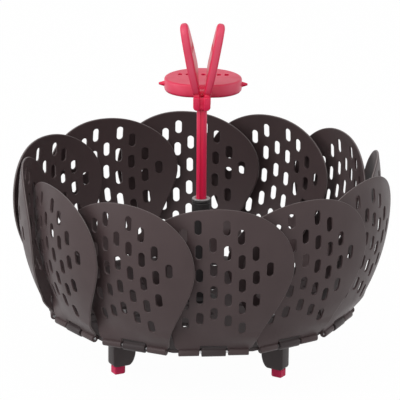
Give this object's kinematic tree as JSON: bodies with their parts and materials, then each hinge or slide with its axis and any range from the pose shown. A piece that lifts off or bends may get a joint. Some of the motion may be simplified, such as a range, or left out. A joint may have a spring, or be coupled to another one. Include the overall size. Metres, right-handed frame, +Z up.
{
  "type": "folding steamer basket",
  "caption": "Folding steamer basket with overlapping hinged petals, a perforated base on three legs, a sliding centre post and a handle of three folding leaves.",
  "frame": {"origin": "on the floor that the feet stand on, below the centre of the post", "axes": "+Z up along the post, -Y through the middle of the first petal, the other petals following counter-clockwise seen from above; the rear leaf of the handle points to +Y, turned 6 degrees towards +X"},
  "size_m": [0.2432, 0.2432, 0.227],
  "materials": {
    "petal_plastic": "satin moulded",
    "base_plastic": "satin moulded",
    "tube_plastic": "satin moulded",
    "ring_plastic": "satin moulded",
    "red_plastic": "soft gloss",
    "foot_rubber": "matte",
    "steel": "plain"
  },
  "bodies": {
    "base": {"base_plate": "base_plastic", "petal_pin_01": "steel", "petal_pin_02": "steel", "petal_pin_03": "steel", "petal_pin_04": "steel", "petal_pin_05": "steel", "petal_pin_06": "steel", "petal_pin_07": "steel", "petal_pin_08": "steel", "petal_pin_09": "steel", "petal_pin_10": "steel", "petal_pin_11": "steel", "petal_pin_12": "steel", "leg_1": "base_plastic", "leg_2": "base_plastic", "leg_3": "base_plastic", "foot_1": "foot_rubber", "foot_2": "foot_rubber", "foot_3": "foot_rubber", "leg_screw_1": "steel", "leg_screw_2": "steel", "leg_screw_3": "steel", "guide_tube": "tube_plastic", "tube_mouth_ring": "ring_plastic", "tube_nut": "base_plastic"},
    "petal_01": {"petal_01": "petal_plastic"},
    "petal_02": {"petal_02": "petal_plastic"},
    "petal_03": {"petal_03": "petal_plastic"},
    "petal_04": {"petal_04": "petal_plastic"},
    "petal_05": {"petal_05": "petal_plastic"},
    "petal_06": {"petal_06": "petal_plastic"},
    "petal_07": {"petal_07": "petal_plastic"},
    "petal_08": {"petal_08": "petal_plastic"},
    "petal_09": {"petal_09": "petal_plastic"},
    "petal_10": {"petal_10": "petal_plastic"},
    "petal_11": {"petal_11": "petal_plastic"},
    "petal_12": {"petal_12": "petal_plastic"},
    "handle": {"lift_post": "red_plastic", "post_stop": "ring_plastic", "handle_collar": "red_plastic", "collar_pin": "steel", "leaf_left_pin": "steel", "leaf_right_pin": "steel", "leaf_rear_pin": "steel"},
    "leaf_left": {"leaf_left": "red_plastic"},
    "leaf_right": {"leaf_right": "red_plastic"},
    "leaf_rear": {"leaf_rear": "red_plastic"}
  },
  "joints": [
    {"name": "petal_01_hinge", "type": "hinge", "parent": "base", "child": "petal_01", "pos_m": [0, -0.0965, 0.0393], "axis": [-1, 0, 0], "range_deg": [0, 45]},
    {"name": "petal_02_hinge", "type": "hinge", "parent": "base", "child": "petal_02", "pos_m": [0.04825, -0.08357, 0.0393], "axis": [-0.866, -0.5, 0], "range_deg": [0, 45]},
    {"name": "petal_03_hinge", "type": "hinge", "parent": "base", "child": "petal_03", "pos_m": [0.08357, -0.04825, 0.0393], "axis": [-0.5, -0.866, 0], "range_deg": [0, 45]},
    {"name": "petal_04_hinge", "type": "hinge", "parent": "base", "child": "petal_04", "pos_m": [0.0965, 0, 0.0393], "axis": [0, -1, 0], "range_deg": [0, 45]},
    {"name": "petal_05_hinge", "type": "hinge", "parent": "base", "child": "petal_05", "pos_m": [0.08357, 0.04825, 0.0393], "axis": [0.5, -0.866, 0], "range_deg": [0, 45]},
    {"name": "petal_06_hinge", "type": "hinge", "parent": "base", "child": "petal_06", "pos_m": [0.04825, 0.08357, 0.0393], "axis": [0.866, -0.5, 0], "range_deg": [0, 45]},
    {"name": "petal_07_hinge", "type": "hinge", "parent": "base", "child": "petal_07", "pos_m": [0, 0.0965, 0.0393], "axis": [1, 0, 0], "range_deg": [0, 45]},
    {"name": "petal_08_hinge", "type": "hinge", "parent": "base", "child": "petal_08", "pos_m": [-0.04825, 0.08357, 0.0393], "axis": [0.866, 0.5, 0], "range_deg": [0, 45]},
    {"name": "petal_09_hinge", "type": "hinge", "parent": "base", "child": "petal_09", "pos_m": [-0.08357, 0.04825, 0.0393], "axis": [0.5, 0.866, 0], "range_deg": [0, 45]},
    {"name": "petal_10_hinge", "type": "hinge", "parent": "base", "child": "petal_10", "pos_m": [-0.0965, 0, 0.0393], "axis": [0, 1, 0], "range_deg": [0, 45]},
    {"name": "petal_11_hinge", "type": "hinge", "parent": "base", "child": "petal_11", "pos_m": [-0.08357, -0.04825, 0.0393], "axis": [-0.5, 0.866, 0], "range_deg": [0, 45]},
    {"name": "petal_12_hinge", "type": "hinge", "parent": "base", "child": "petal_12", "pos_m": [-0.04825, -0.08357, 0.0393], "axis": [-0.866, 0.5, 0], "range_deg": [0, 45]},
    {"name": "post_slide", "type": "slide", "parent": "base", "child": "handle", "axis": [0, 0, 1], "range_m": [-0.038, 0]},
    {"name": "leaf_left_hinge", "type": "hinge", "parent": "handle", "child": "leaf_left", "pos_m": [-0.00288, 0.0003, 0.1769], "axis": [-0.1045, -0.9945, 0], "range_deg": [-6, 60]},
    {"name": "leaf_right_hinge", "type": "hinge", "parent": "handle", "child": "leaf_right", "pos_m": [0.00288, -0.0003, 0.1769], "axis": [0.1045, 0.9945, 0], "range_deg": [-6, 60]},
    {"name": "leaf_rear_hinge", "type": "hinge", "parent": "handle", "child": "leaf_rear", "pos_m": [0.00085, 0.00806, 0.17805], "axis": [0.9945, -0.1045, 0], "range_deg": [0, 40]}
  ],
  "couplings": [
    {"joint": "petal_02_hinge", "follows": "petal_01_hinge", "ratio": 1},
    {"joint": "petal_03_hinge", "follows": "petal_01_hinge", "ratio": 1},
    {"joint": "petal_04_hinge", "follows": "petal_01_hinge", "ratio": 1},
    {"joint": "petal_05_hinge", "follows": "petal_01_hinge", "ratio": 1},
    {"joint": "petal_06_hinge", "follows": "petal_01_hinge", "ratio": 1},
    {"joint": "petal_07_hinge", "follows": "petal_01_hinge", "ratio": 1},
    {"joint": "petal_08_hinge", "follows": "petal_01_hinge", "ratio": 1},
    {"joint": "petal_09_hinge", "follows": "petal_01_hinge", "ratio": 1},
    {"joint": "petal_10_hinge", "follows": "petal_01_hinge", "ratio": 1},
    {"joint": "petal_11_hinge", "follows": "petal_01_hinge", "ratio": 1},
    {"joint": "petal_12_hinge", "follows": "petal_01_hinge", "ratio": 1}
  ]
}
